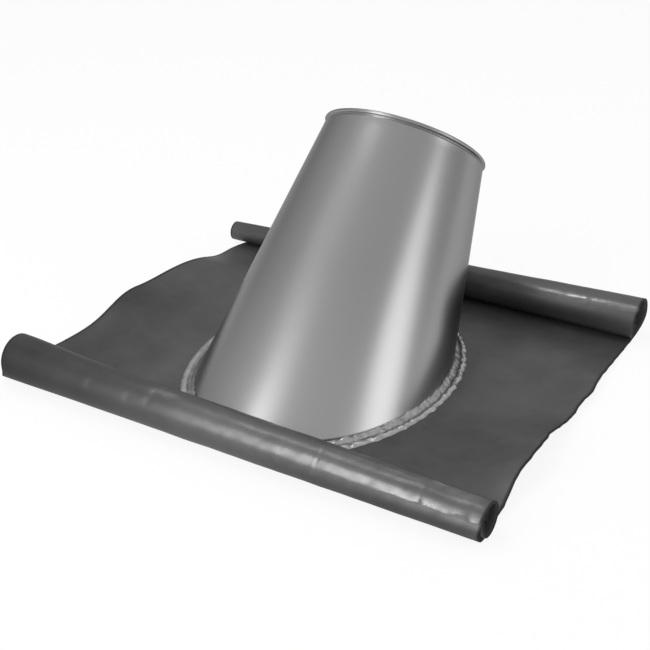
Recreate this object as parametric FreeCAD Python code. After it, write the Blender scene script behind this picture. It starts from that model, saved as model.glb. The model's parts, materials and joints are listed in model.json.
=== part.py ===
import FreeCAD, Part
import math
import os

# Pipe flashing boot for a pitched roof: a soft lead apron with both ends rolled up, a leaning
# conical steel upstand, and the soldered seam that joins the two.
#
# Millimetres. The origin is where the flue's axis crosses the apron's underside. +Z is square to
# the roof, +Y runs up the slope, and the rolls lie along X.

# ---- flue and throat
FLUE_RADIUS = 100.0
THROAT_CLEARANCE = 3.0
TILT = 38.0  # the flue's lean up the slope, in degrees from square to the roof

# ---- steel cone, its lengths measured along the flue's axis from the apron's top face
STEEL = 0.8
CONE_BASE_RADIUS = 149.4  # inside, where the axis meets the apron
SHOULDER_STEP = 3.0  # how far the cone's top stands outside the throat
SHOULDER_HEIGHT = 283.5
SHOULDER_LENGTH = 2.2
NECK_LENGTH = 2.4  # bare throat below the rim bead
BEAD_RADIUS = 2.6  # outside of the rolled rim
BEAD_SWEEP = 270.0
LAP_WIDTH = 12.0  # lengthwise lap of the rolled-up sheet, on the upper side
LAP_GAP_AT_TOP = 4.0

# ---- lead apron
LEAD = 2.0
HOLE_LAP = 8.0  # lead left inside the cone's foot
FRONT_MARGIN = 17.5  # from the cone's foot to where the front roll leaves the roof
BACK_MARGIN = 68.5
SIDE_MARGIN = 159.0
FLAT_MARGIN = 28.0  # dead flat strip beside the cone's foot
LEFT_SKEW_FRONT = 25.0  # how far the left edge stands out beyond the side margin
LEFT_SKEW_BACK = -11.5
LEFT_RIPPLE = 6.8
RIPPLE_PITCH = 201.0

# The free side edges lift off the roof in slow waves. Each wave is its middle and its reach, as
# shares of the length between the rolls, and its height.
LEFT_WAVES = ((0.47, 0.37, 17.5), (0.705, 0.20, 22.0))
RIGHT_WAVES = ((0.28, 0.28, 28.5), (0.63, 0.37, 7.0))

# ---- rolled ends: the outside radius at the left and the right, and how the turns close in
FRONT_LEFT_RADIUS = 29.0
FRONT_RIGHT_RADIUS = 24.0
FRONT_LEFT_FLARE = 2.0  # how much wider the front roll's left end opens
FLARE_REACH = 110.0
FRONT_PITCH = 5.5
FRONT_LENGTH = 225.0  # sheet taken up by the front roll
BACK_LEFT_RADIUS = 16.6
BACK_RIGHT_RADIUS = 29.3
BACK_PITCH = 3.4
BACK_LENGTH = 195.0

# How far each edge wanders outwards within its roll, and over what length of sheet
FRONT_LEFT_DRIFT = (-24.0, 45.0)
FRONT_RIGHT_DRIFT = (5.0, 75.0)
BACK_LEFT_DRIFT = (20.0, 24.0)
BACK_RIGHT_DRIFT = (6.0, 45.0)

# ---- soldered seam
SEAM_WIDTH = 18.0
SEAM_ROLL_CLEARANCE = 1.5  # from the seam's front to where the roll leaves the roof
SEAM_LEG = 7.0  # how far the solder climbs the cone
SEAM_FALL = 4.5  # how sharply it falls away from the cone
SEAM_LIP = 2.4  # bead along the seam's outer edge
SEAM_LIP_WIDTH = 0.55  # as a share of the seam's width

# ---- how finely the curved faces are drawn
WING_POLES = 8
MIDDLE_POLES = 10
PLATE_POLES = 34
ROLL_POLE_SPACING = 4.5
SEAM_POLES = 20  # in each quarter
SEAM_PROFILE_POLES = 10


# ---- worked out from the sizes above
SIN_TILT = math.sin(math.radians(TILT))
COS_TILT = math.cos(math.radians(TILT))
AXIS = FreeCAD.Vector(0, SIN_TILT, COS_TILT)
ACROSS = FreeCAD.Vector(1, 0, 0)
UPHILL = AXIS.cross(ACROSS)
AXIS_FOOT = FreeCAD.Vector(0, SIN_TILT / COS_TILT * LEAD, LEAD)
THROAT_RADIUS = FLUE_RADIUS + THROAT_CLEARANCE
CONE_TOP_RADIUS = THROAT_RADIUS + SHOULDER_STEP
NARROWING = (CONE_BASE_RADIUS - CONE_TOP_RADIUS) / SHOULDER_HEIGHT
NECK_FOOT = SHOULDER_HEIGHT + SHOULDER_LENGTH
BEAD_CENTRE = NECK_FOOT + NECK_LENGTH + BEAD_RADIUS


def foot_ellipse(axis_radius):
    """Middle along Y, and half lengths along X and Y, of the ellipse that the roof cuts from a
    cone of the given radius at its axis and the steel cone's narrowing."""
    pull = SIN_TILT * NARROWING
    stretch = COS_TILT**2 - pull**2
    half_x = axis_radius * math.sqrt(1 + pull**2 / stretch)
    middle = AXIS_FOOT.y - axis_radius * pull / stretch
    return middle, half_x, half_x / math.sqrt(stretch)


WALL_ACROSS = STEEL * math.sqrt(1 + NARROWING**2)  # the steel's thickness square to the axis
FOOT_MIDDLE, FOOT_HALF_X, FOOT_HALF_Y = foot_ellipse(CONE_BASE_RADIUS + WALL_ACROSS)
FRONT_LINE = FOOT_MIDDLE - FOOT_HALF_Y - FRONT_MARGIN
BACK_LINE = FOOT_MIDDLE + FOOT_HALF_Y + BACK_MARGIN
PLATE_LENGTH = BACK_LINE - FRONT_LINE
FLAT_X = FOOT_HALF_X + FLAT_MARGIN
EDGE_X = FOOT_HALF_X + SIDE_MARGIN


def ease(share):
    """Goes from 0 to 1 with no slope at either end."""
    share = min(max(share, 0.0), 1.0)
    return share * share * (3 - 2 * share)


def wave(share, middle, reach):
    """A single crest of height 1 that dies away, with no slope, at its reach."""
    away = (share - middle) / reach
    if abs(away) >= 1:
        return 0.0
    return 0.5 + 0.5 * math.cos(math.pi * away)


# ---- B-spline faces


def knots_of(count):
    """Degree, knots and multiplicities of an even clamped spline, cubic if it has the poles."""
    degree = min(3, count - 1)
    spans = count - degree
    knots = [i / spans for i in range(spans + 1)]
    return degree, knots, [degree + 1] + [1] * (spans - 1) + [degree + 1]


def stations(count):
    """Where, from 0 to 1, the poles of that spline belong."""
    degree, knots, repeats = knots_of(count)
    full = [knot for knot, times in zip(knots, repeats) for _ in range(times)]
    return [sum(full[i + 1 : i + 1 + degree]) / degree for i in range(count)]


def spline_face(poles):
    u_degree, u_knots, u_repeats = knots_of(len(poles))
    v_degree, v_knots, v_repeats = knots_of(len(poles[0]))
    surface = Part.BSplineSurface()
    surface.buildFromPolesMultsKnots(
        poles, u_repeats, v_repeats, u_knots, v_knots, False, False, u_degree, v_degree
    )
    return surface.toShape()


def spline_edge(poles):
    degree, knots, repeats = knots_of(len(poles))
    curve = Part.BSplineCurve()
    curve.buildFromPolesMultsKnots(poles, repeats, knots, False, degree)
    return curve.toShape()


def closed_solid(faces):
    shell = Part.makeShell(faces)
    shell.sewShape()
    return Part.makeSolid(shell)


# ---- lead apron


def edge_x(right, along):
    """X of a side edge at a distance along the sheet from the front roll's foot."""
    share = min(max(along / PLATE_LENGTH, 0.0), 1.0)
    in_front = max(-along, 0.0)
    in_back = max(along - PLATE_LENGTH, 0.0)
    front_drift, front_over = FRONT_RIGHT_DRIFT if right else FRONT_LEFT_DRIFT
    back_drift, back_over = BACK_RIGHT_DRIFT if right else BACK_LEFT_DRIFT
    out = EDGE_X + front_drift * ease(in_front / front_over) + back_drift * ease(in_back / back_over)
    if right:
        return out
    skew = LEFT_SKEW_FRONT + (LEFT_SKEW_BACK - LEFT_SKEW_FRONT) * share
    y = FRONT_LINE + share * PLATE_LENGTH
    return -(out + skew + LEFT_RIPPLE * math.cos(2 * math.pi * y / RIPPLE_PITCH))


def lift(x, y):
    """Height of the apron's underside off the roof, between the rolls."""
    beyond = (abs(x) - FLAT_X) / (EDGE_X - FLAT_X)
    if beyond <= 0:
        return 0.0
    share = (y - FRONT_LINE) / PLATE_LENGTH
    waves = RIGHT_WAVES if x > 0 else LEFT_WAVES
    height = sum(high * wave(share, middle, reach) for middle, reach, high in waves)
    return height * beyond**2 * (3 - beyond) / 2


def plate_point(x, y, depth):
    """A point of the apron between the rolls, depth above its underside."""
    step = 0.5
    slope_x = (lift(x + step, y) - lift(x - step, y)) / (2 * step)
    slope_y = (lift(x, y + step) - lift(x, y - step)) / (2 * step)
    up = FreeCAD.Vector(-slope_x, -slope_y, 1)
    return FreeCAD.Vector(x, y, lift(x, y)) + up * (depth / up.Length)


def roll_point(back, x, length, depth):
    """A point of a roll, at a length of sheet from its foot: an even spiral that closes in."""
    in_from_left = x + EDGE_X
    if back:
        left, right, pitch, flare = BACK_LEFT_RADIUS, BACK_RIGHT_RADIUS, BACK_PITCH, 0.0
    else:
        left, right, pitch, flare = FRONT_LEFT_RADIUS, FRONT_RIGHT_RADIUS, FRONT_PITCH, FRONT_LEFT_FLARE
    outside = left + (right - left) * in_from_left / (2 * EDGE_X)
    outside += flare * ease(1 - in_from_left / FLARE_REACH)
    turn = (outside - math.sqrt(outside**2 - pitch * length / math.pi)) * 2 * math.pi / pitch
    radius = outside - pitch * turn / (2 * math.pi) - depth
    foot = BACK_LINE if back else FRONT_LINE
    outwards = 1 if back else -1
    y = foot + outwards * radius * math.sin(turn)
    return FreeCAD.Vector(x, y, outside - radius * math.cos(turn))


def sheet_point(x, along, depth):
    if along < 0:
        return roll_point(False, x, -along, depth)
    if along > PLATE_LENGTH:
        return roll_point(True, x, along - PLATE_LENGTH, depth)
    return plate_point(x, FRONT_LINE + along, depth)


def strip_x(strip, share, along):
    """X at a share of the way across the left wing, the middle or the right wing."""
    low = edge_x(False, along) if strip == "left" else FLAT_X if strip == "right" else -FLAT_X
    high = edge_x(True, along) if strip == "right" else -FLAT_X if strip == "left" else FLAT_X
    return low + (high - low) * share


def sheet_poles(strip, zone, depth):
    """Poles of one face of the sheet: rows run along the sheet, columns across it."""
    low, high = zone
    length = high - low
    flat = low == 0 and high == PLATE_LENGTH
    rows = PLATE_POLES if flat else math.ceil(length / ROLL_POLE_SPACING)
    columns = MIDDLE_POLES if strip == "middle" else WING_POLES
    grid = []
    for along in (low + length * share for share in stations(rows)):
        xs = [strip_x(strip, share, along) for share in stations(columns)]
        grid.append([sheet_point(x, along, depth) for x in xs])
    return grid


def between(lower, upper):
    """The face that closes the sheet's thickness along one line of poles."""
    return spline_face([lower, upper])


def flat_face(grid):
    left = [row[0] for row in grid]
    right = [row[-1] for row in grid]
    outline = [spline_edge(line) for line in (grid[0], right, grid[-1], left)]
    return Part.Face(Part.Wire(Part.sortEdges(outline)[0]))


def lead_apron():
    zones = ((-FRONT_LENGTH, 0.0), (0.0, PLATE_LENGTH), (PLATE_LENGTH, PLATE_LENGTH + BACK_LENGTH))
    faces = []
    for strip in ("left", "middle", "right"):
        for zone in zones:
            lower = sheet_poles(strip, zone, 0.0)
            upper = sheet_poles(strip, zone, LEAD)
            skin = flat_face if strip == "middle" and zone == zones[1] else spline_face
            faces += [skin(lower), skin(upper)]
            if strip == "left":
                faces.append(between([row[0] for row in lower], [row[0] for row in upper]))
            if strip == "right":
                faces.append(between([row[-1] for row in lower], [row[-1] for row in upper]))
            if zone == zones[0]:
                faces.append(between(lower[0], upper[0]))
            if zone == zones[2]:
                faces.append(between(lower[-1], upper[-1]))
    middle, half_x, half_y = foot_ellipse(CONE_BASE_RADIUS - HOLE_LAP)
    centre = FreeCAD.Vector(0, middle, 0)
    hole = Part.Ellipse(
        centre + FreeCAD.Vector(0, half_y, 0), centre + FreeCAD.Vector(half_x, 0, 0), centre
    )
    hole_face = Part.Face(Part.Wire(hole.toShape()))
    return closed_solid(faces).cut(hole_face.extrude(FreeCAD.Vector(0, 0, LEAD)))


# ---- steel cone


def at(radius, height):
    """A point of the cone's profile, in the plane through its axis and X."""
    return AXIS_FOOT + ACROSS * radius + AXIS * height


def spin(points_and_arcs, angle=360.0, start=0.0):
    """Turns a closed profile about the flue's axis."""
    face = Part.Face(Part.Wire(points_and_arcs))
    face.rotate(AXIS_FOOT, AXIS, start)
    return face.revolve(AXIS_FOOT, AXIS, angle)


def lines(points):
    return [Part.makeLine(a, b) for a, b in zip(points, points[1:])]


def cone_radius(height):
    return CONE_BASE_RADIUS - NARROWING * height


def cone_foot():
    """An axial height below which the whole cone is under the roof."""
    return -2 * CONE_BASE_RADIUS * SIN_TILT / COS_TILT


def above_the_lead(solid):
    size = 8 * CONE_BASE_RADIUS
    ground = Part.makeBox(size, size, size, FreeCAD.Vector(-size / 2, -size / 2, LEAD - size))
    return solid.cut(ground)


def bead_arc(radius):
    """The rolled rim's arc, from the neck up and outwards and back under."""
    centre = (THROAT_RADIUS + BEAD_RADIUS, BEAD_CENTRE)
    turns = (0.0, BEAD_SWEEP / 2, BEAD_SWEEP)
    points = [
        at(
            centre[0] - radius * math.cos(math.radians(turn)),
            centre[1] + radius * math.sin(math.radians(turn)),
        )
        for turn in turns
    ]
    return Part.Arc(*points).toShape(), points[0], points[-1]


def steel_cone():
    foot = cone_foot()
    # the steep shoulder's outside, met from the cone's and the neck's outsides
    shoulder = math.hypot(SHOULDER_STEP, SHOULDER_LENGTH)
    lean = SHOULDER_STEP / SHOULDER_LENGTH
    shoulder_wall = STEEL * shoulder / SHOULDER_LENGTH
    low_rise = (shoulder_wall - WALL_ACROSS) / (lean - NARROWING)
    high_rise = (shoulder_wall - STEEL) / lean
    inner_arc, inner_start, inner_end = bead_arc(BEAD_RADIUS)
    outer_arc, outer_start, outer_end = bead_arc(BEAD_RADIUS - STEEL)
    inside = [
        at(cone_radius(foot), foot),
        at(CONE_TOP_RADIUS, SHOULDER_HEIGHT),
        at(THROAT_RADIUS, NECK_FOOT),
        inner_start,
    ]
    outside = [
        outer_start,
        at(THROAT_RADIUS + STEEL, NECK_FOOT + high_rise),
        at(cone_radius(SHOULDER_HEIGHT + low_rise) + WALL_ACROSS, SHOULDER_HEIGHT + low_rise),
        at(cone_radius(foot) + WALL_ACROSS, foot),
    ]
    profile = lines(inside) + [inner_arc, Part.makeLine(inner_end, outer_end), outer_arc]
    profile += lines(outside) + [Part.makeLine(outside[-1], inside[0])]
    return above_the_lead(spin(profile).fuse(lap(foot)))


def lap(foot):
    """The lengthwise lap, a second thickness of steel along the cone's upper side."""
    top = SHOULDER_HEIGHT - LAP_GAP_AT_TOP
    half_angle = math.degrees(LAP_WIDTH / 2 / CONE_TOP_RADIUS)
    corners = [
        at(cone_radius(foot) + WALL_ACROSS / 2, foot),
        at(cone_radius(top) + WALL_ACROSS / 2, top),
        at(cone_radius(top) + 2 * WALL_ACROSS, top),
        at(cone_radius(foot) + 2 * WALL_ACROSS, foot),
    ]
    return spin(lines(corners + corners[:1]), 2 * half_angle, 90 - half_angle)


def cone_core():
    """All the space that the cone and its lap take up, with the inside filled."""
    foot = cone_foot()
    corners = [
        at(0, foot),
        at(cone_radius(foot) + WALL_ACROSS, foot),
        at(CONE_TOP_RADIUS + WALL_ACROSS, SHOULDER_HEIGHT),
        at(0, SHOULDER_HEIGHT),
    ]
    return spin(lines(corners + corners[:1])).fuse(lap(foot))


# ---- soldered seam


def wall_point(angle, height):
    """A point in the middle of the cone's wall, at a height above the lead."""
    outwards = ACROSS * math.cos(angle) + UPHILL * math.sin(angle)
    radius = CONE_BASE_RADIUS + WALL_ACROSS / 2
    # down the wall's slant from its point beside the axis's foot
    slant = AXIS - outwards * NARROWING
    along = (height - radius * outwards.z) / slant.z
    return AXIS_FOOT + outwards * radius + slant * along


def seam_point(angle, share):
    """A point of the solder's skin, from the cone at share 0 to the outer edge at share 1."""
    narrowest = min(SEAM_WIDTH, FRONT_MARGIN - SEAM_ROLL_CLEARANCE)
    towards_front = ease(0.5 - math.sin(angle))
    width = SEAM_WIDTH + (narrowest - SEAM_WIDTH) * towards_front
    foot = wall_point(angle, 0.0)
    top = wall_point(angle, SEAM_LEG)
    ahead = wall_point(angle + 0.01, 0.0) - wall_point(angle - 0.01, 0.0)
    edge = foot + FreeCAD.Vector(ahead.y, -ahead.x, 0).normalize() * width
    fall = math.exp(-SEAM_FALL * share) - share * math.exp(-SEAM_FALL)
    across_lip = max(share - 1 + SEAM_LIP_WIDTH, 0.0) / SEAM_LIP_WIDTH
    spot = top + (edge - top) * share
    spot.z = LEAD + SEAM_LEG * fall + SEAM_LIP * math.sin(math.pi * across_lip)
    return spot


def solder_seam():
    faces = []
    inner_foot = []
    outer_foot = []
    for quarter in range(4):
        angles = [(quarter + share) * math.pi / 2 for share in stations(SEAM_POLES)]
        shares = stations(SEAM_PROFILE_POLES)
        skin = [[seam_point(angle, share) for share in shares] for angle in angles]
        foot = [wall_point(angle, 0.0) for angle in angles]
        faces.append(spline_face(skin))
        faces.append(between([row[0] for row in skin], foot))
        inner_foot.append(spline_edge(foot))
        outer_foot.append(spline_edge([row[-1] for row in skin]))
    outline = Part.Face(Part.Wire(outer_foot))
    bottom = outline.cut(Part.Face(Part.Wire(inner_foot)))
    return closed_solid(faces + bottom.Faces).cut(cone_core())


NODES = {"lead_apron": lead_apron, "steel_cone": steel_cone, "solder_seam": solder_seam}

os.makedirs("parts", exist_ok=True)
for name, make in NODES.items():
    shape = make()
    shape.exportStep(f"parts/{name}.step")
    state = "valid" if shape.isValid() else "NOT VALID"
    print(name, len(shape.Solids), "solid,", state, round(shape.Volume / 1000, 1), "cm3")
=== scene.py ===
import bpy
import json
import math
import numpy as np
from mathutils import Matrix, Vector


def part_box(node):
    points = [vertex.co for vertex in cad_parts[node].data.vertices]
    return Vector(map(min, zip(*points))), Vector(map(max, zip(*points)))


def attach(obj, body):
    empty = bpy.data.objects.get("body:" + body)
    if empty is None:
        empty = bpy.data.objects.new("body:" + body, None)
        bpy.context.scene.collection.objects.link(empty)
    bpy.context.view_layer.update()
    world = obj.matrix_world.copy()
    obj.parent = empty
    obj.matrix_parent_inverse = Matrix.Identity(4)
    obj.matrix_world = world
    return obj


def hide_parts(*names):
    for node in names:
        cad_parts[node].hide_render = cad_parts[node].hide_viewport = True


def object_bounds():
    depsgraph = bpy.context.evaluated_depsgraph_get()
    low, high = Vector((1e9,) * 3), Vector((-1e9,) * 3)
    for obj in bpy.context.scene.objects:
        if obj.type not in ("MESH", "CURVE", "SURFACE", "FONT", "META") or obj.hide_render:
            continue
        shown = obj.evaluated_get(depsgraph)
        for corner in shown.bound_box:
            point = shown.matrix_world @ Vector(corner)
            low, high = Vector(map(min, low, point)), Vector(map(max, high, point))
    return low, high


# Looks of a pipe flashing boot: a dull soft lead apron with both ends rolled up, a leaning steel
# cone with a rolled rim, and the ring of solder between them. Shapes are worked out in
# millimetres in the frame's axes and put into the meshes in metres.

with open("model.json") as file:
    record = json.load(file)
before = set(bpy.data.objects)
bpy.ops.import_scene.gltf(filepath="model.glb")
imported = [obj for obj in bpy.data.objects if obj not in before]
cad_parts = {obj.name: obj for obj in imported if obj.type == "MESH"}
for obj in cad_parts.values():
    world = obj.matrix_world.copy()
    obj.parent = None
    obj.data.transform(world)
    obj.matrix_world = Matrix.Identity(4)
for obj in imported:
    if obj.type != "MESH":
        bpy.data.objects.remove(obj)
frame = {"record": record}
cad_low, cad_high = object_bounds()

MM = 0.001
throat = next(m for m in frame["record"]["mounts"] if m["name"] == "flue_throat")

# ---- sizes of the construction, in millimetres
AXIS = np.array(throat["axis"])
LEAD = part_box("solder_seam")[0].z / MM  # the seam stands on the sheet, so it starts a sheet up
STEEL = 0.8
THROAT_RADIUS = 103.0
CONE_BASE_RADIUS = 149.4
CONE_TOP_RADIUS = 106.0
SHOULDER_HEIGHT = 283.5
SHOULDER_LENGTH = 2.2
NECK_LENGTH = 2.4
BEAD_RADIUS = 2.6
GROOVE_OUT = 2.9  # from the throat out to the middle of the groove's round bottom
GROOVE_RADIUS = 1.15
LAP_WIDTH = 12.0
LAP_GAP_AT_TOP = 4.0
LAP_ANGLE = 0.5 * np.pi  # on the upper side of the cone
LAP_STEP = 0.5  # the width over which the lap's edge rises

HOLE_LAP = 8.0
FRONT_MARGIN = 17.5
BACK_MARGIN = 68.5
SIDE_MARGIN = 159.0
FLAT_MARGIN = 28.0
LEFT_SKEW_FRONT = 25.0
LEFT_SKEW_BACK = -11.5
LEFT_RIPPLE = 6.8
RIPPLE_PITCH = 201.0
LEFT_WAVES = ((0.47, 0.37, 17.5), (0.705, 0.20, 22.0))
RIGHT_WAVES = ((0.28, 0.28, 28.5), (0.63, 0.37, 7.0))

# the rolls' inner turns fall short of their right ends: by how much, and from what share of the
# roll's length over what share
INNER_SHORT, INNER_FROM, INNER_OVER = 7.0, 0.68, 0.25

SEAM_WIDTH = 18.0
SEAM_ROLL_CLEARANCE = 1.5
SEAM_LEG = 7.0
SEAM_FALL = 4.5
SEAM_LIP = 2.4
SEAM_LIP_WIDTH = 0.55

# ---- marks of handling, and painted light. A bump is a place along the right edge, its reach and
# how far it stands out. A crease is its two ends on the sheet (X and the length of sheet from the
# roll's foot, or X and Y on the flat), its half width and its height, inwards where negative. A
# painted spot is a soft spot of painted highlight where it adds and of painted shade where it
# takes away: its place and its reach along the same two lengths, and how much it adds.
RIGHT_BUMPS = ((77, 22, 3.2), (6, 28, 1.7), (-92, 28, 3.2), (-148, 16, -2.0), (170, 14, -0.8))
RIGHT_RAGGED = 0.7  # height of the snips' small waves along the right edge
FRONT_CREASES = (
    ((-184, 56), (-183, 61), 4.0, -0.6), ((-127, 55), (-126, 59), 4.5, -0.6),
    ((-98, 60), (-92, 82), 5.0, -0.9), ((-253, 103), (-178, 96), 3.0, 0.5),
    ((79, 42), (81, 66), 3.0, -0.5), ((123, 40), (126, 68), 3.0, -0.7),
    ((246, 66), (244, 50), 3.0, 0.6), ((232, 78), (244, 64), 3.5, 0.4),
    ((255, 76), (262, 80), 5.0, -0.5), ((274, 70), (280, 73), 4.0, -0.6),
    ((222, 78), (230, 74), 5.0, -0.5), ((300, 40), (302, 60), 4.0, -0.4))
BACK_CREASES = (
    ((251, 92), (255, 110), 2.5, -0.7), ((214, 90), (222, 96), 5.0, -0.4),
    ((120, 100), (160, 96), 4.0, -0.3))
FLAT_CREASES = (
    ((128, -170), (152, -168), 1.8, 0.8), ((250, 60), (268, 120), 9.0, 0.5),
    ((-262, 20), (-290, 90), 12.0, 0.6), ((225, -60), (262, -20), 10.0, -0.4))
# painted spots on the front roll: its left third, left end and lower flank darkened as painted
# shade; patches over the streak and a line at its left start lightened as painted highlight
FRONT_PAINTED_SPOTS = (
    (-250, 55, 155, 60, -1.15), (-330, 55, 60, 60, -0.5), (210, 22, 170, 20, -1.1),
    (172, 76, 36, 7, 1.7), (222, 74, 20, 9, 1.9), (262, 76, 16, 9, 1.9),
    (292, 70, 16, 14, 1.4), (-80, 76, 17, 3.5, 2.6))
# painted spots on the back roll: its lower flank and left part darkened as painted shade, a gap in
# the streak as painted shade, and a band lightened as painted highlight
BACK_PAINTED_SPOTS = (
    (250, 122, 130, 13, -0.8), (-270, 90, 60, 60, -0.8), (253, 103, 2.5, 5, -1.5),
    (240, 90, 110, 9, 0.5))
# a painted shadow on the flat beside the cone at the back left
FLAT_PAINTED_SPOTS = ((-252, 205, 30, 50, -0.7),)
CREASE_PAINTED_HIGHLIGHT = 0.55  # how much painted highlight a crease 1 mm high gets
PAINTED_LIGHT_BLEND = 18.0  # length of sheet over which the flat's painted light gives way to the roll's

# where the groove under the rim's bead is shallower: by how much, at what angle round the cone
# and over what reach, and its middle above the neck's foot with the band's half height
SHALLOW, SHALLOW_ANGLE, SHALLOW_REACH = 1.0, math.radians(-84), math.radians(13)
SHALLOW_RISE, SHALLOW_BAND = 1.0, 1.3

# one narrow break across the solder: its angle round the seam, its reach and its share of height
BREAK_ANGLE, BREAK_REACH, BREAK_DEPTH = 2 * math.pi - 0.86, 0.012, 0.7

# A rolled end: its side (-1 front, 1 back), radius at the left and right, pitch, length of sheet
# in it, rows of points along that, how far each edge drifts outwards and over what length, and
# the flare of its left end. Its lumps have a height, a quarter of it left of lumps_from. The
# painted highlight streak lies at a place along the sheet, with a half width. Right of the middle
# the place shifts and the width tapers for each millimetre, and the painted highlight brightens
# over its reach. It starts at an X, over a length of fade.
FRONT_ROLL = dict(
    side=-1, radii=(29.0, 24.0), pitch=5.5, length=225.0, rows=75,
    drifts=((-24.0, 45.0), (5.0, 75.0)), flare=2.0, flare_reach=110.0,
    seed=21, lumps=0.34, lumps_from=-140.0, creases=FRONT_CREASES, touches=FRONT_PAINTED_SPOTS,
    streak=dict(place=60.0, shift=-0.055, half=17.0, taper=-0.04, start=-105.0, fade=110.0,
                reach=180.0))
BACK_ROLL = dict(
    side=1, radii=(16.6, 29.3), pitch=3.4, length=195.0, rows=50,
    drifts=((20.0, 24.0), (6.0, 45.0)), flare=0.0, flare_reach=110.0,
    seed=31, lumps=0.20, lumps_from=-200.0, creases=BACK_CREASES, touches=BACK_PAINTED_SPOTS,
    streak=dict(place=86.5, shift=0.066, half=3.4, taper=0.0, start=172.0, fade=20.0,
                reach=190.0))
ROLLS = (FRONT_ROLL, BACK_ROLL)

# ---- how finely the pieces are divided
SHEET_COLUMNS, SHEET_SIDE_ROWS, SHEET_RINGS = 200, 70, 40
CONE_STEPS, LAP_STEPS, OUTSIDE_ROWS, INSIDE_ROWS = 480, 16, 40, 24
SHOULDER_ROWS, GROOVE_ROWS, BEAD_ROWS = 7, 9, 20
RING_STEPS, RING_ROWS = 900, 33

# ---- worked out from them
ACROSS = np.array((1.0, 0.0, 0.0))
UPHILL = np.cross(AXIS, ACROSS)
SLOPE = AXIS[1] / AXIS[2]
AXIS_FOOT = np.array((0.0, SLOPE * LEAD, LEAD))
NARROWING = (CONE_BASE_RADIUS - CONE_TOP_RADIUS) / SHOULDER_HEIGHT
WALL_ACROSS = STEEL * math.sqrt(1 + NARROWING**2)


def foot_ellipse(axis_radius):
    """Middle along Y and half lengths along X and Y of the ellipse in which a cone of that
    radius at its axis meets the lead."""
    pull = AXIS[1] * NARROWING
    stretch = AXIS[2] ** 2 - pull**2
    half_x = axis_radius * math.sqrt(1 + pull**2 / stretch)
    return AXIS_FOOT[1] - axis_radius * pull / stretch, half_x, half_x / math.sqrt(stretch)


FOOT_MIDDLE, FOOT_HALF_X, FOOT_HALF_Y = foot_ellipse(CONE_BASE_RADIUS + WALL_ACROSS)
FRONT_LINE = FOOT_MIDDLE - FOOT_HALF_Y - FRONT_MARGIN
BACK_LINE = FOOT_MIDDLE + FOOT_HALF_Y + BACK_MARGIN
PLATE_LENGTH = BACK_LINE - FRONT_LINE
FLAT_X = FOOT_HALF_X + FLAT_MARGIN
EDGE_X = FOOT_HALF_X + SIDE_MARGIN


# ---- curves and noise


def ease(share):
    """3s^2 - 2s^3: from 0 to 1 with no slope at either end."""
    share = np.clip(share, 0.0, 1.0)
    return share * share * (3 - 2 * share)


def wave(share, middle, reach):
    """Half a cosine crest of height 1, gone with no slope at its reach."""
    return 0.5 + 0.5 * np.cos(np.pi * np.clip((share - middle) / reach, -1, 1))


def ripples(seed, shortest, longest, count=28):
    """A function of two lengths: cosines of random heading, phase and wavelength, added up to a
    height of about 1."""
    dice = np.random.default_rng(seed)
    lengths = shortest * (longest / shortest) ** dice.random(count)
    headings, phases = dice.random(count) * 2 * np.pi, dice.random(count) * 2 * np.pi

    def height(u, v):
        total = 0.0
        for length, heading, phase in zip(lengths, headings, phases):
            along = u * math.cos(heading) + v * math.sin(heading)
            total = total + np.cos(2 * np.pi * along / length + phase)
        return total / math.sqrt(2 * count)

    return height


def creases(marks, u, v):
    """Adds up ridges and furrows, each exp(-(d / half width)^2) of the distance d from its line."""
    total = 0.0 * u
    for (u0, v0), (u1, v1), half_width, height in marks:
        run_u, run_v = u1 - u0, v1 - v0
        share = np.clip(((u - u0) * run_u + (v - v0) * run_v) / (run_u**2 + run_v**2), 0, 1)
        away = np.hypot(u - u0 - share * run_u, v - v0 - share * run_v)
        total = total + height * np.exp(-(away / half_width) ** 2)
    return total


def touches(marks, u, v, mottle):
    """Adds up soft spots of painted highlight and shade, each exp(-(du / reach)^2 - (dv /
    spread)^2), the bright ones mottled.
    """
    total = 0.0 * u
    for place_u, place_v, reach, spread, amount in marks:
        patchy = mottle if amount > 0 else 1.0
        spot = np.exp(-(((u - place_u) / reach) ** 2) - ((v - place_v) / spread) ** 2)
        total = total + patchy * amount * spot
    return total


# ---- meshes


def new_mesh(name, points, faces, material):
    """A smooth-shaded mesh object from points in millimetres and an array of quads."""
    mesh = bpy.data.meshes.new(name)
    mesh.vertices.add(len(points))
    mesh.vertices.foreach_set("co", (points * MM).astype(np.float32).ravel())
    mesh.loops.add(faces.size)
    mesh.loops.foreach_set("vertex_index", faces.astype(np.int32).ravel())
    mesh.polygons.add(len(faces))
    mesh.polygons.foreach_set("loop_start", np.arange(0, faces.size, 4, dtype=np.int32))
    mesh.polygons.foreach_set("use_smooth", np.ones(len(faces), bool))
    mesh.update(calc_edges=True)
    mesh.validate()
    mesh.materials.append(material)
    piece = bpy.data.objects.new(name, mesh)
    bpy.context.scene.collection.objects.link(piece)
    return piece


def mark(piece, name, levels):
    """A number for each of the piece's points, which its material can read by name."""
    attribute = piece.data.attributes.new(name, "FLOAT", "POINT")
    attribute.data.foreach_set("value", levels.astype(np.float32))


def quads(index):
    """The quads of a grid of vertex numbers, rows by columns."""
    corners = (index[:-1, :-1], index[:-1, 1:], index[1:, 1:], index[1:, :-1])
    return np.stack(corners, -1).reshape(-1, 4)


def closed_quads(points):
    """The quads of a grid of points whose rows and columns both close on themselves."""
    index = np.arange(points.shape[0] * points.shape[1]).reshape(points.shape[:2])
    index = np.concatenate((index, index[:1]))
    return quads(np.concatenate((index, index[:, :1]), 1))


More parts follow.
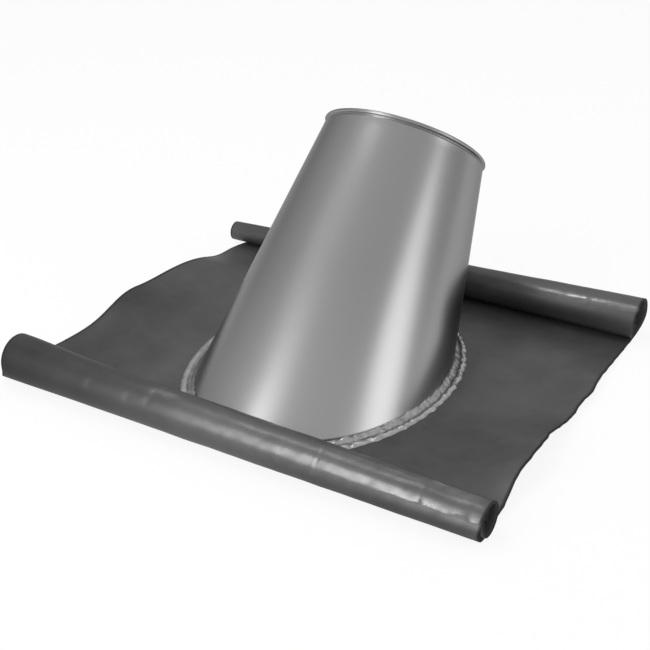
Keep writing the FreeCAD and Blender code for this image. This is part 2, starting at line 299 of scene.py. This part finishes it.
def rim_quads(faces, count):
    """Quads that join a skin's open edges to those of a second skin, count vertices later. An
    edge is open where no other face runs along it the other way."""
    start = faces.ravel()
    end = np.roll(faces, -1, axis=1).ravel()
    there = start.astype(np.int64) * count + end
    back = end.astype(np.int64) * count + start
    lone = ~np.isin(there, back)
    return np.stack((start[lone], end[lone], end[lone] + count, start[lone] + count), -1)


# ---- lead apron


def between_rolls(y, reach):
    """1 on the flat and 0 at the feet of both rolls, eased over that reach."""
    return ease((y - FRONT_LINE) / reach) * ease((BACK_LINE - y) / reach)


def left_edge(y):
    """The left edge's X: straight and askew, with a slow cosine ripple."""
    share = (y - FRONT_LINE) / PLATE_LENGTH
    skew = LEFT_SKEW_FRONT + (LEFT_SKEW_BACK - LEFT_SKEW_FRONT) * share
    return -(EDGE_X + skew + LEFT_RIPPLE * np.cos(2 * np.pi * y / RIPPLE_PITCH))


def right_edge(y):
    """The right edge's X: straight, with the snips' bumps and bites, which die away at its ends."""
    bumps = sum(high * np.exp(-((y - place) / reach) ** 2) for place, reach, high in RIGHT_BUMPS)
    ragged = RIGHT_RAGGED * ripples(5, 12, 45)(y, 0.0 * y)
    return EDGE_X + (bumps + ragged) * between_rolls(y, 20)


def lift(x, y):
    """How high the sheet's underside stands: cosine waves that grow as b^2 (3 - b) / 2 from the
    flat strip to the free edge."""
    share = (y - FRONT_LINE) / PLATE_LENGTH
    beyond = np.clip((np.abs(x) - FLAT_X) / (EDGE_X - FLAT_X), 0, None)
    left = sum(high * wave(share, middle, reach) for middle, reach, high in LEFT_WAVES)
    right = sum(high * wave(share, middle, reach) for middle, reach, high in RIGHT_WAVES)
    return np.where(x < 0, left, right) * beyond**2 * (3 - beyond) / 2


def flat_relief(x, y):
    """How far hand work raises the flat sheet: slow and quick ripples, never below the roof, that
    fade out at the solder and at the rolls, and creases that run up to the rolls."""
    middle, half_x, half_y = foot_ellipse(CONE_BASE_RADIUS)
    beyond = np.hypot(x / (half_x + SEAM_WIDTH), (y - middle) / (half_y + SEAM_WIDTH)) - 1
    slow, quick = ripples(11, 60, 170)(x, y), ripples(12, 22, 55)(x, y)
    worked = np.clip(0.7 + 0.45 * slow + 0.10 * quick, 0, None)
    folded = np.clip(creases(FLAT_CREASES, x, y), -0.3, None)
    return worked * ease(beyond / 0.12) * between_rolls(y, 30) + folded * between_rolls(y, 12)


def plate_skin(x, y, depth):
    """Points of the flat part at that depth above its underside, measured square to it."""
    step = 0.5
    slope_x = (lift(x + step, y) - lift(x - step, y)) / (2 * step)
    slope_y = (lift(x, y + step) - lift(x, y - step)) / (2 * step)
    normal = np.stack((-slope_x, -slope_y, np.ones_like(x)), -1)
    normal /= np.linalg.norm(normal, axis=-1, keepdims=True)
    return np.stack((x, y, lift(x, y)), -1) + normal * (depth + flat_relief(x, y))[..., None]


def roll_foot(roll):
    """The Y at which the sheet leaves the flat and turns up into that roll."""
    return FRONT_LINE if roll["side"] < 0 else BACK_LINE


def roll_relief(roll, x, run):
    """How far hand work dents a roll, square to it: ripples and creases, none at the roll's foot."""
    quick, slow = ripples(roll["seed"], 24, 60)(x, run), ripples(roll["seed"] + 1, 60, 150)(x, run)
    lumpy = roll["lumps"] * (0.25 + 0.75 * ease((x - roll["lumps_from"]) / 120))
    dents = lumpy * (0.55 * quick + 0.6 * slow) + creases(roll["creases"], x, run)
    return dents * ease(run / 25)


def roll_skin(roll, across, lengths, depth):
    """Points of a rolled end: a spiral whose radius falls by the pitch each turn, carried across
    the sheet while its outside radius goes from the left's to the right's."""
    side, pitch, foot = roll["side"], roll["pitch"], roll_foot(roll)
    (left_drift, left_over), (right_drift, right_over) = roll["drifts"]
    low = left_edge(foot) - left_drift * ease(lengths / left_over)
    high = right_edge(foot) + right_drift * ease(lengths / right_over)
    high = high - INNER_SHORT * ease((lengths / roll["length"] - INNER_FROM) / INNER_OVER)
    x = low[:, None] + (high - low)[:, None] * across[None, :]
    left, right = roll["radii"]
    in_from_left = x + EDGE_X
    outside = left + (right - left) * in_from_left / (2 * EDGE_X)
    outside = outside + roll["flare"] * ease(1 - in_from_left / roll["flare_reach"])
    run = lengths[:, None] + 0 * x
    turn = (outside - np.sqrt(outside**2 - pitch * run / np.pi)) * 2 * np.pi / pitch
    radius = outside - pitch * turn / (2 * np.pi) - depth + roll_relief(roll, x, run)
    return np.stack((x, foot + side * radius * np.sin(turn), outside - radius * np.cos(turn)), -1)


def plate_painted_light(x, y):
    """The flat sheet's painted light, with random mottle: faint slow and quick patches, darker
    towards the left front, and its painted spots of shadow."""
    level = 0.10 + 0.16 * ripples(13, 40, 140)(x, y) + 0.06 * ripples(14, 10, 30)(x, y)
    level = level - 0.8 * ease((-150 - x) / 150) * ease((110 - y) / 120)
    return level + touches(FLAT_PAINTED_SPOTS, x, y, 1.0)


def roll_painted_light(roll, x, run):
    """A roll's painted light: a mottled painted highlight streak exp(-(d / half width)^2) along it
    that brightens as 1 + (out / reach)^2 to the right, painted spots of highlight and shade, and
    painted highlight on its creases."""
    streak = roll["streak"]
    out = np.clip(x, 0, None)
    away = run - streak["place"] - streak["shift"] * out
    across = np.exp(-((away / (streak["half"] + streak["taper"] * out)) ** 2))
    mottle = np.clip(0.85 + 0.30 * ripples(15, 9, 32)(x, run), 0.2, 1.3)
    level = across * ease((x - streak["start"]) / streak["fade"]) * mottle
    level = level * (1 + (out / streak["reach"]) ** 2)
    level = level + touches(roll["touches"], x, run, mottle)
    return level + CREASE_PAINTED_HIGHLIGHT * np.abs(creases(roll["creases"], x, run))


def apron_grid():
    """One skin's places and quads. Rings go from the hole out to the flat's four sides, by the
    share of the way from the hole's ellipse to the side's points, and each roll is carried on
    from its own side. Gives the flat's X and Y, the rolls' shares across and lengths, and the
    quads."""
    across = np.linspace(0, 1, SHEET_COLUMNS)
    up = np.linspace(FRONT_LINE, BACK_LINE, SHEET_SIDE_ROWS + 2)[1:-1]
    front_y, back_y = np.full(SHEET_COLUMNS, FRONT_LINE), np.full(SHEET_COLUMNS, BACK_LINE)
    front_x = left_edge(front_y) * (1 - across) + right_edge(front_y) * across
    back_x = left_edge(back_y) * (1 - across) + right_edge(back_y) * across
    side_x = np.concatenate((front_x, right_edge(up), back_x[::-1], left_edge(up[::-1])))
    side_y = np.concatenate((front_y, up, back_y, up[::-1]))
    middle, half_x, half_y = foot_ellipse(CONE_BASE_RADIUS - HOLE_LAP)
    angle = np.arctan2((side_y - middle) / half_y, side_x / half_x)
    share = np.linspace(0, 1, SHEET_RINGS)[:, None]
    x = half_x * np.cos(angle) * (1 - share) + side_x * share
    y = (middle + half_y * np.sin(angle)) * (1 - share) + side_y * share
    around = len(side_x)
    ring = np.arange(SHEET_RINGS * around).reshape(SHEET_RINGS, around)
    faces = [quads(np.concatenate((ring, ring[:, :1]), 1))[:, ::-1]]
    back_start = SHEET_COLUMNS + SHEET_SIDE_ROWS
    feet = (ring[-1, :SHEET_COLUMNS], ring[-1, back_start:back_start + SHEET_COLUMNS][::-1])
    first = ring.size
    runs = []
    for roll, foot in zip(ROLLS, feet):
        rows = roll["rows"]
        runs.append(np.linspace(0, roll["length"], rows + 1)[1:])
        more = np.arange(first, first + rows * SHEET_COLUMNS).reshape(rows, SHEET_COLUMNS)
        strip = quads(np.concatenate((foot[None], more)))
        faces.append(strip[:, ::-1] if roll["side"] < 0 else strip)
        first += more.size
    return x, y, across, runs, np.concatenate(faces)


def make_apron(material):
    """Two skins a sheet's thickness apart, joined round every open edge. Its points carry whether
    they lie on a cut edge, and their painted light: painted highlight and shade, with random mottle."""
    x, y, across, runs, faces = apron_grid()
    skins = []
    for depth in (0.0, LEAD):
        skins.append(plate_skin(x, y, depth).reshape(-1, 3))
        for roll, lengths in zip(ROLLS, runs):
            skins.append(roll_skin(roll, across, lengths, depth).reshape(-1, 3))
    points = np.concatenate(skins)
    count = len(points) // 2
    rim = rim_quads(faces, count)
    piece = new_mesh("apron", points, np.concatenate((faces[:, ::-1], faces + count, rim)), material)
    mark(piece, "cut_edge", np.isin(np.arange(2 * count), rim))
    # each point's painted light (painted highlight and shade, with random mottle on the flat), read
    # by the lead's material
    rubbed = [plate_painted_light(x, y).ravel()]
    for roll, lengths in zip(ROLLS, runs):
        places = roll_skin(roll, across, lengths, 0.0)[..., 0]
        blend = ease(lengths / PAINTED_LIGHT_BLEND)[:, None]
        rolled = roll_painted_light(roll, places, lengths[:, None] + 0 * places)
        flat = plate_painted_light(places, roll_foot(roll) + 0 * places)
        rubbed.append((rolled * blend + flat * (1 - blend)).ravel())
    mark(piece, "rubbed", np.tile(np.concatenate(rubbed), 2))
    return piece


# ---- steel cone


def outwards(angle):
    """The direction square to the flue's axis, round by that angle from +X."""
    return np.cos(angle)[..., None] * ACROSS + np.sin(angle)[..., None] * UPHILL


def cone_point(angle, radius, height):
    """A point at that angle, radius and height about the flue's axis."""
    return AXIS_FOOT + outwards(angle) * radius[..., None] + height[..., None] * AXIS


def wall_rows(angle, axis_radius, share):
    """Radius and height of a wall with that radius at the axis, at shares of the way from the
    lead, which it meets at a height that varies round the cone, to the shoulder."""
    pull = SLOPE * np.sin(angle)
    foot = pull * axis_radius / (1 + pull * NARROWING)
    height = foot + (SHOULDER_HEIGHT - foot) * share[:, None]
    return axis_radius - NARROWING * height, height


def arc(middle, radii, start, end, count):
    """Radius and height of points on an ellipse's arc between two angles in degrees."""
    turn = np.radians(np.linspace(start, end, count))
    return np.stack((middle[0] + radii[0] * np.cos(turn), middle[1] + radii[1] * np.sin(turn)), -1)


def rim_profile():
    """Radius and height of the cone's top, from the outside of its shoulder round the rim's bead
    and back down the inside: a rounded shoulder, the groove under the bead, the bead, the neck.
    The shoulder and the bead stop 6 degrees short of where they would meet the groove."""
    neck = SHOULDER_HEIGHT + SHOULDER_LENGTH
    wall = CONE_TOP_RADIUS + WALL_ACROSS
    groove = THROAT_RADIUS + GROOVE_OUT
    bead = (THROAT_RADIUS + BEAD_RADIUS, neck + NECK_LENGTH + BEAD_RADIUS)
    widening = CONE_TOP_RADIUS - THROAT_RADIUS
    return np.concatenate((
        arc((groove, SHOULDER_HEIGHT), (wall - groove, SHOULDER_LENGTH), 0, 84, SHOULDER_ROWS),
        arc((groove, neck + GROOVE_RADIUS), (GROOVE_RADIUS, GROOVE_RADIUS), 270, 90, GROOVE_ROWS),
        arc(bead, (BEAD_RADIUS, BEAD_RADIUS), -84, 180, BEAD_ROWS),
        arc((THROAT_RADIUS, SHOULDER_HEIGHT), (widening, SHOULDER_LENGTH), 90, 0, SHOULDER_ROWS)))


def make_cone(material):
    """The profile goes up the outside, round the rim and down the inside, once for each angle
    round the axis. Over the lap the outside stands out by the steel's thickness, and one stretch
    of the groove is shallower by a Gaussian of angle and height."""
    lap = LAP_WIDTH / 2
    close = np.linspace(0.9 * lap / CONE_BASE_RADIUS, 1.1 * lap / CONE_TOP_RADIUS, LAP_STEPS)
    even = np.linspace(LAP_ANGLE - 2 * np.pi, LAP_ANGLE, CONE_STEPS, endpoint=False)[1:]
    angle = np.sort(np.concatenate((even, LAP_ANGLE - close, LAP_ANGLE - 2 * np.pi + close)))
    angle = np.concatenate((angle, [LAP_ANGLE]))

    share = np.linspace(0, 1, OUTSIDE_ROWS + 1)[:-1]
    radius, height = wall_rows(angle, CONE_BASE_RADIUS + WALL_ACROSS, share)
    from_lap = np.arctan2(np.sin(angle - LAP_ANGLE), np.cos(angle - LAP_ANGLE))
    beside = (lap - np.abs(from_lap) * radius) / LAP_STEP + 0.5
    below = (SHOULDER_HEIGHT - LAP_GAP_AT_TOP - height) / LAP_STEP + 0.5
    outside = cone_point(angle, radius + STEEL * ease(beside) * ease(below), height)

    top = rim_profile()
    rise = top[:, 1:] - SHOULDER_HEIGHT - SHOULDER_LENGTH - SHALLOW_RISE
    filled = SHALLOW * np.exp(-((rise / SHALLOW_BAND) ** 2))
    filled[SHOULDER_ROWS + GROOVE_ROWS:] = 0
    filled = filled * np.exp(-(((angle - SHALLOW_ANGLE) / SHALLOW_REACH) ** 2))
    rim = cone_point(angle, top[:, :1] + filled, top[:, 1:])

    share = np.linspace(1, 0, INSIDE_ROWS + 1)[1:]
    inside = cone_point(angle, *wall_rows(angle, CONE_BASE_RADIUS, share))
    points = np.concatenate((outside, rim, inside))
    return new_mesh("cone", points.reshape(-1, 3), closed_quads(points), material)


# ---- solder ring


def wall_point(angle, height):
    """The point of the cone's wall, halfway through the steel, at that height above the lead."""
    radius = CONE_BASE_RADIUS + WALL_ACROSS / 2
    out = outwards(angle)
    slant = AXIS - out * NARROWING
    along = (height - radius * out[..., 2]) / slant[..., 2]
    return AXIS_FOOT + out * radius + slant * along[..., None]


def make_ring(material):
    """Across the seam, height falls away from the cone as exp(-fall s), over it a lumpy ridge, a
    groove and a scalloped half sine lip. The profile goes back under along the lead. The seam is
    narrower at the front roll and roughest at the right, and its points carry painted shade: on
    the inner band on the left and in the groove, less on the lip as painted highlight."""
    angle = np.linspace(0, 2 * np.pi, RING_STEPS, endpoint=False)
    share = np.linspace(0, 1, RING_ROWS)[:, None]
    foot = wall_point(angle, 0 * angle)
    near, far = foot[:, 0], foot[:, 1]
    rough = 0.1 + 0.9 * ease(0.75 + np.cos(angle + 0.5))
    scallops = ripples(41, 9, 24)(near, far)

    room = FRONT_MARGIN - SEAM_ROLL_CLEARANCE
    width = SEAM_WIDTH + (room - SEAM_WIDTH) * ease(0.5 - np.sin(angle))
    width = width * (1 + 0.07 * rough * (scallops - 1))
    ahead = wall_point(angle + 0.01, 0 * angle) - wall_point(angle - 0.01, 0 * angle)
    square = np.stack((ahead[:, 1], -ahead[:, 0], 0 * angle), -1)
    square /= np.linalg.norm(square, axis=-1, keepdims=True)
    edge = foot + square * width[:, None]

    uneven = 0.24 * ripples(46, 12, 34)(near, far) + 0.12 * ripples(47, 5, 10)(near, far)
    leg = SEAM_LEG * (1 + rough * uneven)
    top = wall_point(angle, leg)
    points = top + (edge - top) * share[..., None]

    def line(place, half_width, seed):
        """A line along the seam, exp(-(d / half width)^2), that wanders about its place."""
        wander = 0.03 * ripples(seed, 14, 40)(near, far)
        return np.exp(-((share - place - wander) / half_width) ** 2)

    ridge = line(place=0.27, half_width=0.13, seed=42) * (1 + 0.6 * ripples(45, 10, 26)(near, far))
    groove = line(place=0.50, half_width=0.09, seed=43)
    fall = np.exp(-SEAM_FALL * share) - share * math.exp(-SEAM_FALL)
    lip = np.sin(np.pi * (np.clip(share - 1 + SEAM_LIP_WIDTH, 0, None) / SEAM_LIP_WIDTH))
    x, y = points[..., 0], points[..., 1]
    lumps = 0.7 * ripples(44, 7, 18)(x, y) + 0.3 * ripples(48, 4, 8)(x, y)
    lumps = lumps * np.sin(np.pi * share) ** 0.5
    height = leg * fall + SEAM_LIP * lip**0.8 * (1 + 0.22 * rough * scallops)
    height = height + rough * (ridge - 0.9 * groove + lumps)
    broken = np.exp(-(((angle - BREAK_ANGLE) / BREAK_REACH) ** 2))
    height = height * (1 - BREAK_DEPTH * broken * ease((share - 0.2) / 0.2))
    points[..., 2] = LEAD + np.clip(height, 0.0, None)
    points[-1, :, 2] = LEAD
    points = np.concatenate((points, foot[None]))
    piece = new_mesh("solder_ring", points.reshape(-1, 3), closed_quads(points)[:, ::-1], material)

    # painted shade on the inner band on the left and in the groove, and painted highlight on the lip
    dull = 1.15 * ease(-0.2 - np.cos(angle)) * (1 - ease((share - 0.35) / 0.12))
    dull = dull + rough * (0.9 * groove - 0.5 * lip**2)
    mark(piece, "dull", np.concatenate((dull, dull[:1])).ravel())
    return piece


# ---- shader maths


class Socket:
    """A value in a material. Arithmetic on it adds Math nodes."""

    def __init__(self, tree, output):
        self.tree, self.output = tree, output

    def maths(self, operation, first, second):
        return self.tree.node("ShaderNodeMath", {"operation": operation}, {0: first, 1: second})[0]

    def __add__(self, other):
        return self.maths("ADD", self, other)

    def __radd__(self, other):
        return self.maths("ADD", other, self)

    def __sub__(self, other):
        return self.maths("SUBTRACT", self, other)

    def __rsub__(self, other):
        return self.maths("SUBTRACT", other, self)

    def __mul__(self, other):
        return self.maths("MULTIPLY", self, other)

    def __rmul__(self, other):
        return self.maths("MULTIPLY", other, self)

    def least(self, other):
        return self.maths("MINIMUM", self, other)

    def most(self, other):
        return self.maths("MAXIMUM", self, other)


class Outputs:
    """A node's outputs by name or number, each as a Socket."""

    def __init__(self, tree, made):
        self.tree, self.made = tree, made

    def __getitem__(self, key):
        return Socket(self.tree, self.made.outputs[key])


class Finish:
    """A node tree being built: a material's or the world's."""

    def __init__(self, owner):
        owner.use_nodes = True
        self.owner = owner
        self.nodes, self.links = owner.node_tree.nodes, owner.node_tree.links
        self.nodes.clear()

    def node(self, kind, settings=None, sockets=None):
        """Adds a node: its settings first, then the values or links of its sockets."""
        made = self.nodes.new(kind)
        for key, value in (settings or {}).items():
            if key == "stops":
                ramp = made.color_ramp
                while len(ramp.elements) < len(value):
                    ramp.elements.new(0.5)
                for element, (place, level) in zip(ramp.elements, value):
                    element.position = place
                    element.color = grey(level)
            else:
                setattr(made, key, value)
        for key, value in (sockets or {}).items():
            if isinstance(value, Socket):
                self.links.new(value.output, made.inputs[key])
            else:
                made.inputs[key].default_value = value
        return Outputs(self, made)

    def place(self):
        """The point's place on its own piece, in metres."""
        return self.node("ShaderNodeTexCoord")["Object"]

    def marked(self, name):
        """The number that the piece's points carry under that name."""
        return self.node("ShaderNodeAttribute", {"attribute_name": name})["Fac"]

    def noise(self, where, scale, detail, roughness):
        """Noise from 0 to 1, with about that many features a metre."""
        return self.node("ShaderNodeTexNoise", {}, {
            "Vector": where, "Scale": scale, "Detail": detail, "Roughness": roughness})["Fac"]

    def bump(self, strength, depth, height):
        """Small unevenness: where the height is 1, it stands that depth in metres above 0."""
        return self.node("ShaderNodeBump", {}, {
            "Strength": strength, "Distance": depth, "Height": height})["Normal"]

    def metal(self, red_green, blue, sockets):
        """A metal's surface in a grey of those levels, with those sockets. Gives the material."""
        colour = self.node("ShaderNodeCombineColor", {}, {0: red_green, 1: red_green, 2: blue})[0]
        shader = self.node("ShaderNodeBsdfPrincipled", {}, {"Base Color": colour, **sockets})
        self.node("ShaderNodeOutputMaterial", {}, {"Surface": shader["BSDF"]})
        return self.owner


def grey(level):
    """A colour with all three parts at that level."""
    return (level, level, level, 1.0)


def swing(noise, amount):
    """A noise's swing to both sides of its middle, by that amount in all."""
    return (noise - 0.5) * amount


# ---- finishes
# the lead's tone, its darkest, how much its painted-light mark lightens it as painted highlight, and
# how much cut edges are darkened
LEAD_TONE, LEAD_DARKEST, PAINTED_LIGHT_GAIN, CUT_PAINTED_SHADE = 0.082, 0.015, 0.045, 0.9
LEAD_ROUGH, LEAD_SMOOTHEST, PAINTED_LIGHT_SMOOTHER, CUT_ROUGHER = 0.42, 0.08, 0.14, 0.35
# the steel's painted shade: darker by that much a metre upwards, and at most that much
STEEL_TONE, STEEL_PAINTED_SHADE_A_METRE, STEEL_PAINTED_SHADE_AT_MOST, STEEL_ROUGH = 0.39, 0.45, 0.07, 0.30
# the solder's tone and roughness, and how much its painted shade mark darkens and roughens it
SOLDER_TONE, SOLDER_PAINTED_SHADE, SOLDER_ROUGH, PAINTED_SHADE_ROUGHER = 0.36, 0.75, 0.33, 0.2


def lead_finish():
    """Dull hand-rolled lead with a metal's soft sheen: patches a hand wide, blotches and fine grain,
    lightened as painted highlight, darkened as painted shade and smoother as its painted-light mark
    rises, and darkened as painted shade and rougher at cut edges."""
    tree = Finish(bpy.data.materials.new("dull_lead"))
    place = tree.place()
    patches = tree.noise(place, 16.0, 3.0, 0.5)
    blotches = tree.noise(place, 60.0, 2.0, 0.55)
    grain = tree.noise(place, 420.0, 2.0, 0.6)
    cut, rubbed = tree.marked("cut_edge"), tree.marked("rubbed")
    # the tone is lightened as painted highlight and darkened as painted shade by the points' marked
    # level
    tone = LEAD_TONE + rubbed * PAINTED_LIGHT_GAIN
    tone = tone + swing(patches, 0.03) + swing(blotches, 0.02) + swing(grain, 0.012)
    # cut edges are darkened as painted shade
    tone = tone.most(LEAD_DARKEST) * (1 - CUT_PAINTED_SHADE * cut)
    rough = LEAD_ROUGH - rubbed * PAINTED_LIGHT_SMOOTHER + swing(blotches, 0.12) + swing(grain, 0.08)
    return tree.metal(tone, tone * 1.01, {
        "Metallic": 0.4, "Specular IOR Level": 1.0, "Specular Tint": grey(0.6),
        "Roughness": rough.most(LEAD_SMOOTHEST) + CUT_ROUGHER * cut,
        "Normal": tree.bump(0.4, 0.0006, blotches * 0.9 + grain * 0.12)})


def steel_finish():
    """Smooth satin sheet steel with a slight unevenness from rolling, and painted shade that darkens
    it a little upwards.
    """
    tree = Finish(bpy.data.materials.new("satin_steel"))
    place = tree.place()
    slow = tree.noise(place, 9.0, 2.0, 0.4)
    fine = tree.noise(place, 900.0, 2.0, 0.5)
    height = tree.node("ShaderNodeSeparateXYZ", {}, {0: place})["Z"]
    # painted shade, darker towards the top
    darker = (height * STEEL_PAINTED_SHADE_A_METRE).least(STEEL_PAINTED_SHADE_AT_MOST)
    tone = STEEL_TONE - darker + swing(slow, 0.02)
    return tree.metal(tone, tone, {
        "Metallic": 1.0, "Specular Tint": grey(0.5), "Roughness": STEEL_ROUGH + swing(fine, 0.04),
        "Normal": tree.bump(0.15, 0.001, slow)})


def solder_finish():
    """Grey solder in lighter and darker patches, darkened as painted shade and rougher where its
    mark is high, lightened as painted highlight on the lip.
    """
    tree = Finish(bpy.data.materials.new("dull_solder"))
    patches = tree.noise(tree.place(), 110.0, 3.0, 0.6)
    dull = tree.marked("dull")
    tone = (SOLDER_TONE + swing(patches, 0.30)) * (1 - SOLDER_PAINTED_SHADE * dull)
    return tree.metal(tone, tone, {
        "Metallic": 0.8, "Roughness": SOLDER_ROUGH + PAINTED_SHADE_ROUGHER * dull,
        "Normal": tree.bump(0.7, 0.0015, patches)})


# ---- the boot

apron = make_apron(lead_finish())
cone = make_cone(steel_finish())
ring = make_ring(solder_finish())
for piece, node, finish in ((apron, "lead_apron", "lead"), (cone, "steel_cone", "steel"),
                            (ring, "solder_seam", "solder")):
    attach(piece, "root")
    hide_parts(node)


# ---- floor, light and camera
FLOOR_HALF = 20000.0  # millimetres from the middle to each side
FLOOR_BELOW = 0.2  # millimetres under the boot's lowest point
FLOOR_TONE, FLOOR_WHITE = 0.94, 0.88  # its matt tone, and how much of it reads as plain white

# the dome's stops: the sine of the height above the horizon, and the level of light there
DOME = ((0.0, 0.52), (0.25, 0.55), (0.65, 0.72), (1.0, 0.80))

# soft lamps: azimuth from the front round to the right and elevation in degrees, width and
# height in metres, and brightness. All face the same middle from the same distance.
SOFTBOXES = {
    "front_softbox": (-21, 23, 0.95, 1.6, 4.4),
    "right_softbox": (92, 19, 0.90, 1.2, 2.0),
    "high_softbox": (-40, 50, 1.5, 0.5, 0.33),
    "top_softbox": (-90, 71, 0.55, 0.45, 7.5),
}
SOFTBOX_MIDDLE = Vector((0, 0, 0.12))
SOFTBOX_DISTANCE = 2.2

CAMERA_PLACE = Vector((0.64296, -1.07702, 0.72728))
CAMERA_AZIMUTH, CAMERA_FALL, CAMERA_TILT = 31.3913, 28.3994, 0.7536
CAMERA_LENS, CAMERA_FILM = 63.107, 36.0


def make_floor():
    """A pale square floor that reads white to the eye and in reflections, and still takes the
    boot's shadow."""
    corners = np.array(((-1, -1, 0), (1, -1, 0), (1, 1, 0), (-1, 1, 0))) * FLOOR_HALF
    corners[:, 2] = cad_low.z / MM - FLOOR_BELOW
    tree = Finish(bpy.data.materials.new("pale_floor"))
    path = tree.node("ShaderNodeLightPath")
    seen = path["Is Camera Ray"].most(path["Is Glossy Ray"]).most(path["Is Transmission Ray"])
    matt = tree.node("ShaderNodeBsdfDiffuse", {}, {"Color": grey(FLOOR_TONE)})["BSDF"]
    white = tree.node("ShaderNodeEmission", {}, {"Color": grey(1.0), "Strength": 1.0})["Emission"]
    mixed = tree.node("ShaderNodeMixShader", {}, {0: seen * FLOOR_WHITE, 1: matt, 2: white})[0]
    tree.node("ShaderNodeOutputMaterial", {}, {"Surface": mixed})
    floor = new_mesh("floor", corners, np.array(((0, 1, 2, 3),)), tree.owner)


def make_world():
    """A plain pale dome, darker towards the horizon."""
    world = bpy.data.worlds.new("dome")
    bpy.context.scene.world = world
    tree = Finish(world)
    direction = tree.node("ShaderNodeTexCoord")["Generated"]
    up = tree.node("ShaderNodeSeparateXYZ", {}, {0: direction})["Z"]
    level = tree.node("ShaderNodeValToRGB", {"stops": DOME}, {"Fac": up})["Color"]
    lit = tree.node("ShaderNodeBackground", {}, {"Color": level, "Strength": 1.0})["Background"]
    tree.node("ShaderNodeOutputWorld", {}, {"Surface": lit})


def softbox(name, azimuth, elevation, width, height, brightness):
    """A large soft lamp that faces the boot, as bright as a surface of that level."""
    turn, rise = math.radians(azimuth), math.radians(elevation)
    level = math.cos(rise)
    towards = Vector((math.sin(turn) * level, -math.cos(turn) * level, math.sin(rise)))
    lamp = bpy.data.lights.new(name, "AREA")
    lamp.shape, lamp.size, lamp.size_y = "RECTANGLE", width, height
    lamp.energy = brightness * math.pi * width * height
    holder = bpy.data.objects.new(name, lamp)
    holder.location = SOFTBOX_MIDDLE + towards * SOFTBOX_DISTANCE
    holder.rotation_euler = towards.to_track_quat("Z", "Y").to_euler()
    bpy.context.scene.collection.objects.link(holder)


def make_camera():
    """The camera stands in front to the right and looks down at the boot, a little tilted."""
    turn, fall, tilt = np.radians((CAMERA_AZIMUTH, CAMERA_FALL, CAMERA_TILT)).tolist()
    level = math.cos(fall)
    ahead = Vector((-math.sin(turn) * level, math.cos(turn) * level, -math.sin(fall)))
    right = Vector((math.cos(turn), math.sin(turn), 0))
    down = -right.cross(ahead)
    right, down = (math.cos(tilt) * right + math.sin(tilt) * down,
                   -math.sin(tilt) * right + math.cos(tilt) * down)
    lens = bpy.data.cameras.new("camera")
    lens.lens, lens.sensor_width = CAMERA_LENS, CAMERA_FILM
    lens.clip_start, lens.clip_end = 0.05, 100.0
    camera = bpy.data.objects.new("camera", lens)
    place = Matrix((right, -down, -ahead)).transposed().to_4x4()
    place.translation = CAMERA_PLACE
    camera.matrix_world = place
    bpy.context.scene.collection.objects.link(camera)
    bpy.context.scene.camera = camera


make_floor()
make_world()
for name, setting in SOFTBOXES.items():
    softbox(name, *setting)
make_camera()
bpy.context.scene.view_settings.view_transform = "Standard"
